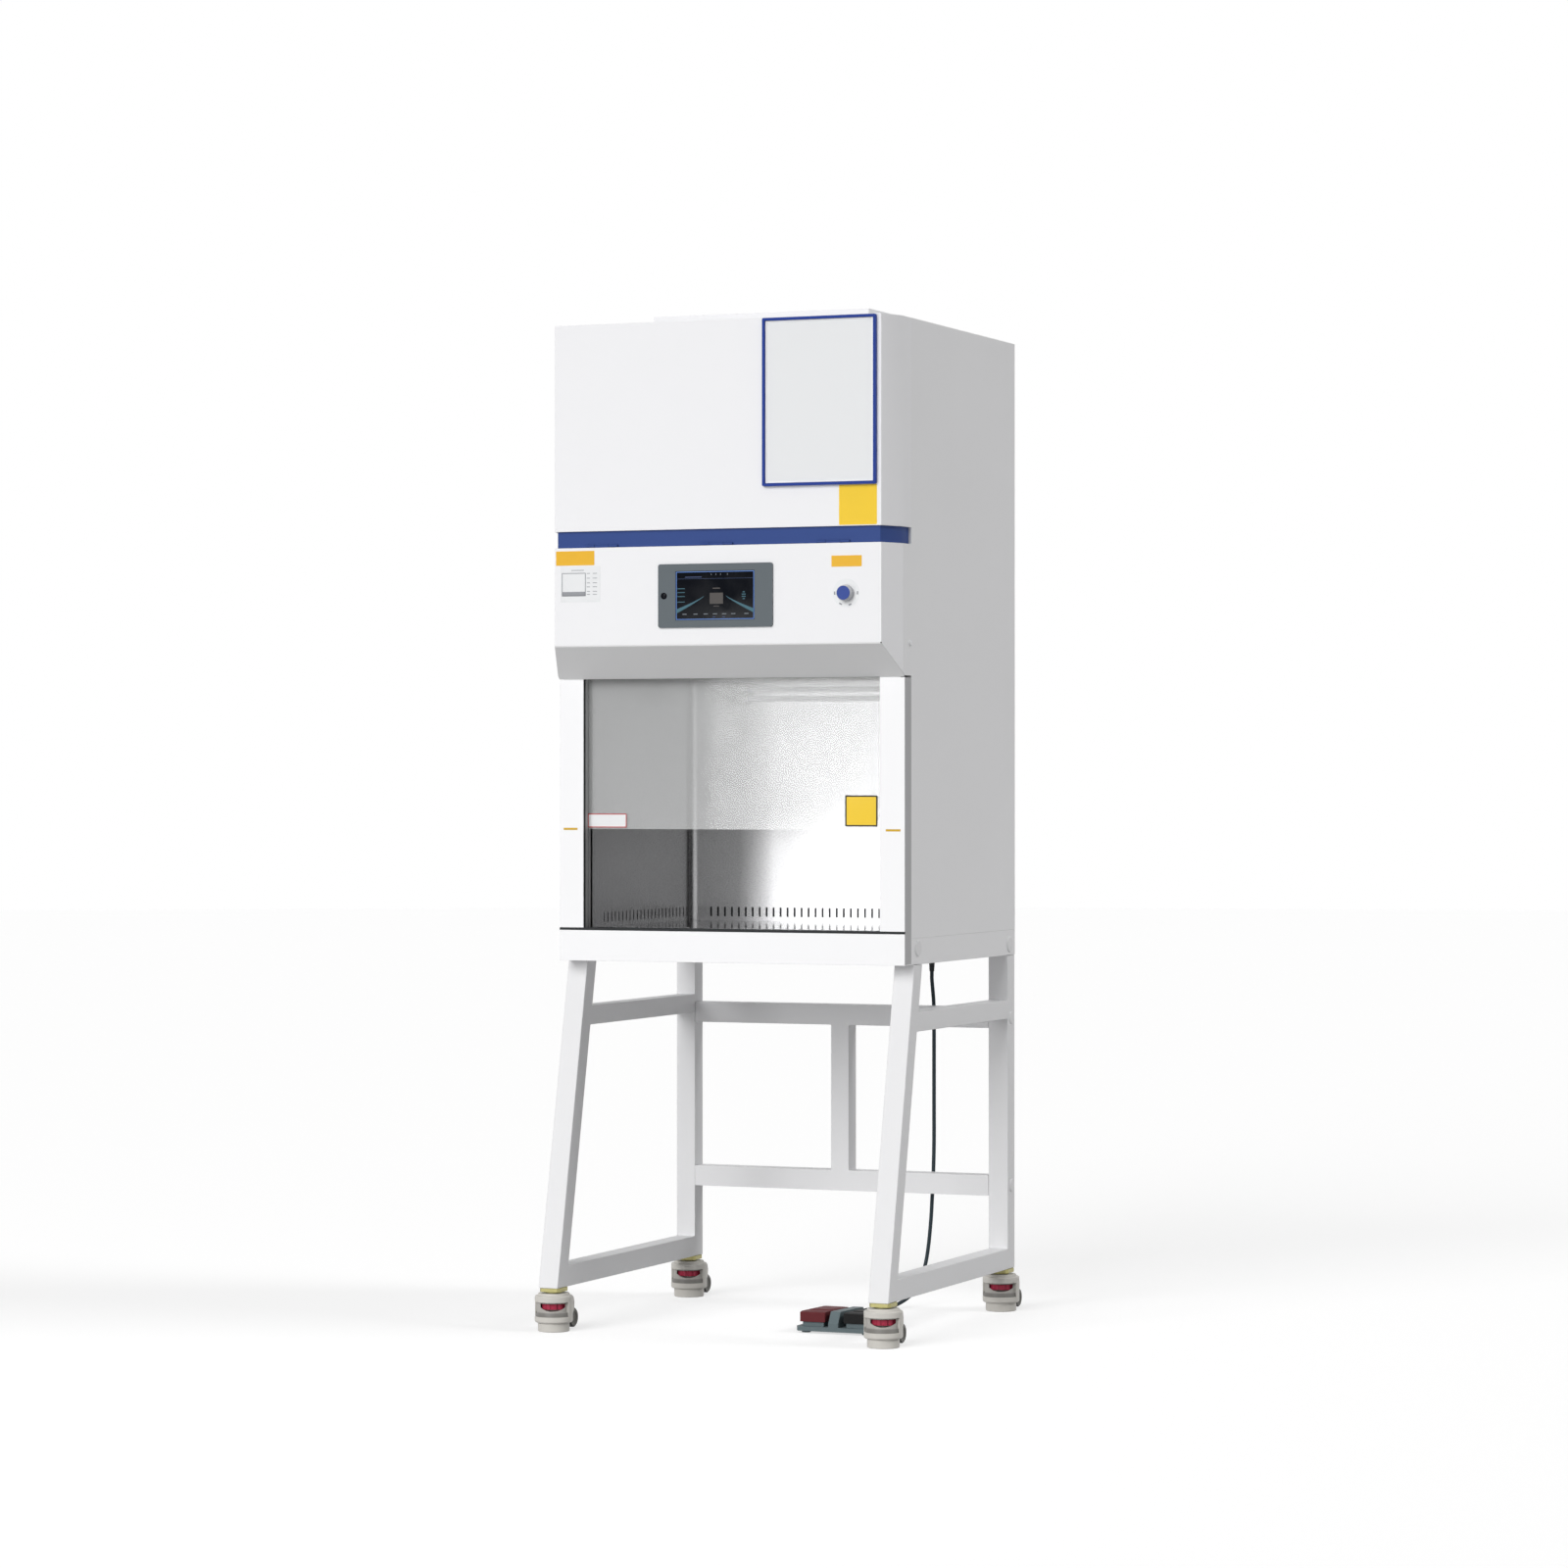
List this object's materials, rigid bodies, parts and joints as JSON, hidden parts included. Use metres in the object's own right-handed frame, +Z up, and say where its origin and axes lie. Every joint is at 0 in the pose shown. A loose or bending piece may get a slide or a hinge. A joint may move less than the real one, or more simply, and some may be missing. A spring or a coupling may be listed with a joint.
{
  "type": "biosafety cabinet",
  "caption": "Narrow class II biosafety cabinet with a sliding sash, hinged control cover, blower and filters, on a stand with levelling casters and a foot switch.",
  "frame": {"origin": "on the floor, under the middle of the machine's footprint", "axes": "+X to the right of someone working at it, +Y away from them, +Z up"},
  "size_m": [0.789, 0.793, 2.061],
  "materials": {
    "white_panel": "satin powder coat",
    "grey_panel": "satin powder coat",
    "post_grey": "satin powder coat",
    "visor_grey": "satin powder coat",
    "stand_white": "satin powder coat",
    "blue_paint": "satin powder coat",
    "black_strip": "matte",
    "stainless": "brushed",
    "glass": "clear, toughened",
    "aluminium": "anodised",
    "motor_grey": "satin",
    "filter_media": "pleated paper in a metal frame",
    "belt_rubber": "matte",
    "lamp_white": "gloss",
    "lamp_glass": "clear quartz",
    "bezel_grey": "fine texture",
    "screen": "gloss",
    "knob_grey": "gloss",
    "zinc_yellow": "yellow passivated zinc",
    "caster_ivory": "semi-gloss",
    "wheel_grey": "matte",
    "thumb_red": "semi-gloss",
    "pedal_grey": "fine texture",
    "pedal_red": "satin",
    "pedal_black": "satin",
    "cable_black": "matte"
  },
  "bodies": {
    "cabinet": {"side_panels": "grey_panel", "back_panel": "grey_panel", "top_panel": "white_panel", "base_frame": "grey_panel", "front_fascia": "white_panel", "front_posts": "post_grey", "sill_strip": "black_strip", "hood_side_strips": "grey_panel", "work_tray": "stainless", "rear_liner": "stainless", "side_liners": "stainless", "supply_filter": "filter_media", "exhaust_filter": "filter_media", "blower_housing": "stainless", "blower_motor": "motor_grey", "exhaust_collar": "white_panel", "upper_hood_cover": "white_panel", "blue_band": "blue_paint", "panel_frame": "blue_paint", "sash_guides": "black_strip", "sash_motor": "motor_grey", "sash_belts": "belt_rubber", "lamp_holders": "lamp_white", "uv_tubes": "lamp_glass", "work_light": "lamp_white", "side_frames": "stand_white", "rear_beams": "stand_white", "bolt_caps": "stand_white", "caster_plates": "zinc_yellow", "foot_base": "pedal_grey", "foot_cable": "cable_black", "cable_glands": "cable_black"},
    "sash": {"sash_glass": "glass", "sash_carrier": "aluminium"},
    "sash_drive": {"sash_shaft": "stainless"},
    "blower_wheel": {"impeller": "aluminium"},
    "control_cover": {"control_cover": "white_panel", "visor": "visor_grey", "cover_hinges": "blue_paint", "screen_bezel": "bezel_grey", "touch_screen": "screen"},
    "selector": {"selector_knob": "knob_grey"},
    "red_pedal": {"red_pedal": "pedal_red"},
    "black_pedal": {"black_pedal": "pedal_black"},
    "caster_fl": {"caster_housing_fl": "caster_ivory"},
    "wheels_fl": {"caster_wheels_fl": "wheel_grey"},
    "thumbwheel_fl": {"thumbwheel_fl": "thumb_red"},
    "pad_fl": {"levelling_pad_fl": "caster_ivory"},
    "caster_fr": {"caster_housing_fr": "caster_ivory"},
    "wheels_fr": {"caster_wheels_fr": "wheel_grey"},
    "thumbwheel_fr": {"thumbwheel_fr": "thumb_red"},
    "pad_fr": {"levelling_pad_fr": "caster_ivory"},
    "caster_rl": {"caster_housing_rl": "caster_ivory"},
    "wheels_rl": {"caster_wheels_rl": "wheel_grey"},
    "thumbwheel_rl": {"thumbwheel_rl": "thumb_red"},
    "pad_rl": {"levelling_pad_rl": "caster_ivory"},
    "caster_rr": {"caster_housing_rr": "caster_ivory"},
    "wheels_rr": {"caster_wheels_rr": "wheel_grey"},
    "thumbwheel_rr": {"thumbwheel_rr": "thumb_red"},
    "pad_rr": {"levelling_pad_rr": "caster_ivory"}
  },
  "joints": [
    {"name": "sash_slide", "type": "slide", "parent": "cabinet", "child": "sash", "axis": [0, 0, 1], "range_m": [-0.198, 0.29]},
    {"name": "sash_shaft_turn", "type": "hinge", "parent": "cabinet", "child": "sash_drive", "pos_m": [0, -0.27001, 1.917], "axis": [1, 0, 0], "range_deg": [-1390, 950]},
    {"name": "cover_hinge", "type": "hinge", "parent": "cabinet", "child": "control_cover", "pos_m": [0, -0.35761, 1.5802], "axis": [-1, 0, 0], "range_deg": [0, 80]},
    {"name": "knob_turn", "type": "hinge", "parent": "control_cover", "child": "selector", "pos_m": [0.279, -0.36101, 1.478], "axis": [0, 1, 0], "range_deg": [-45, 45]},
    {"name": "impeller_spin", "type": "hinge", "parent": "cabinet", "child": "blower_wheel", "pos_m": [0, 0.18999, 1.638], "axis": [0, 1, 0], "continuous": true},
    {"name": "red_pedal_press", "type": "hinge", "parent": "cabinet", "child": "red_pedal", "pos_m": [0.187, -0.07201, 0.029], "axis": [1, 0, 0], "range_deg": [0, 2.6], "stiffness_Nm_per_rad": 2, "springref_deg": -11.46},
    {"name": "black_pedal_press", "type": "hinge", "parent": "cabinet", "child": "black_pedal", "pos_m": [0.187, -0.07201, 0.029], "axis": [1, 0, 0], "range_deg": [0, 2.6], "stiffness_Nm_per_rad": 2, "springref_deg": -11.46},
    {"name": "swivel_fl", "type": "hinge", "parent": "cabinet", "child": "caster_fl", "pos_m": [-0.356, -0.35799, 0.079], "axis": [0, 0, 1], "continuous": true},
    {"name": "wheel_spin_fl", "type": "hinge", "parent": "caster_fl", "child": "wheels_fl", "pos_m": [-0.356, -0.30649, 0.0225], "axis": [1, 0, 0], "continuous": true},
    {"name": "level_turn_fl", "type": "hinge", "parent": "caster_fl", "child": "thumbwheel_fl", "pos_m": [-0.356, -0.35799, 0.051], "axis": [0, 0, 1], "range_deg": [0, 1830]},
    {"name": "pad_lift_fl", "type": "slide", "parent": "caster_fl", "child": "pad_fl", "axis": [0, 0, 1], "range_m": [0, 0.01]},
    {"name": "swivel_fr", "type": "hinge", "parent": "cabinet", "child": "caster_fr", "pos_m": [0.356, -0.35799, 0.079], "axis": [0, 0, 1], "continuous": true},
    {"name": "wheel_spin_fr", "type": "hinge", "parent": "caster_fr", "child": "wheels_fr", "pos_m": [0.356, -0.30649, 0.0225], "axis": [1, 0, 0], "continuous": true},
    {"name": "level_turn_fr", "type": "hinge", "parent": "caster_fr", "child": "thumbwheel_fr", "pos_m": [0.356, -0.35799, 0.051], "axis": [0, 0, 1], "range_deg": [0, 1830]},
    {"name": "pad_lift_fr", "type": "slide", "parent": "caster_fr", "child": "pad_fr", "axis": [0, 0, 1], "range_m": [0, 0.01]},
    {"name": "swivel_rl", "type": "hinge", "parent": "cabinet", "child": "caster_rl", "pos_m": [-0.356, 0.32549, 0.079], "axis": [0, 0, 1], "continuous": true},
    {"name": "wheel_spin_rl", "type": "hinge", "parent": "caster_rl", "child": "wheels_rl", "pos_m": [-0.356, 0.37699, 0.0225], "axis": [1, 0, 0], "continuous": true},
    {"name": "level_turn_rl", "type": "hinge", "parent": "caster_rl", "child": "thumbwheel_rl", "pos_m": [-0.356, 0.32549, 0.051], "axis": [0, 0, 1], "range_deg": [0, 1830]},
    {"name": "pad_lift_rl", "type": "slide", "parent": "caster_rl", "child": "pad_rl", "axis": [0, 0, 1], "range_m": [0, 0.01]},
    {"name": "swivel_rr", "type": "hinge", "parent": "cabinet", "child": "caster_rr", "pos_m": [0.356, 0.32549, 0.079], "axis": [0, 0, 1], "continuous": true},
    {"name": "wheel_spin_rr", "type": "hinge", "parent": "caster_rr", "child": "wheels_rr", "pos_m": [0.356, 0.37699, 0.0225], "axis": [1, 0, 0], "continuous": true},
    {"name": "level_turn_rr", "type": "hinge", "parent": "caster_rr", "child": "thumbwheel_rr", "pos_m": [0.356, 0.32549, 0.051], "axis": [0, 0, 1], "range_deg": [0, 1830]},
    {"name": "pad_lift_rr", "type": "slide", "parent": "caster_rr", "child": "pad_rr", "axis": [0, 0, 1], "range_m": [0, 0.01]}
  ],
  "couplings": [
    {"joint": "sash_shaft_turn", "follows": "sash_slide", "rad_per_m": -83.333},
    {"joint": "level_turn_fl", "follows": "pad_lift_fl", "rad_per_m": 3141.6},
    {"joint": "level_turn_fr", "follows": "pad_lift_fr", "rad_per_m": 3141.6},
    {"joint": "level_turn_rl", "follows": "pad_lift_rl", "rad_per_m": 3141.6},
    {"joint": "level_turn_rr", "follows": "pad_lift_rr", "rad_per_m": 3141.6}
  ]
}
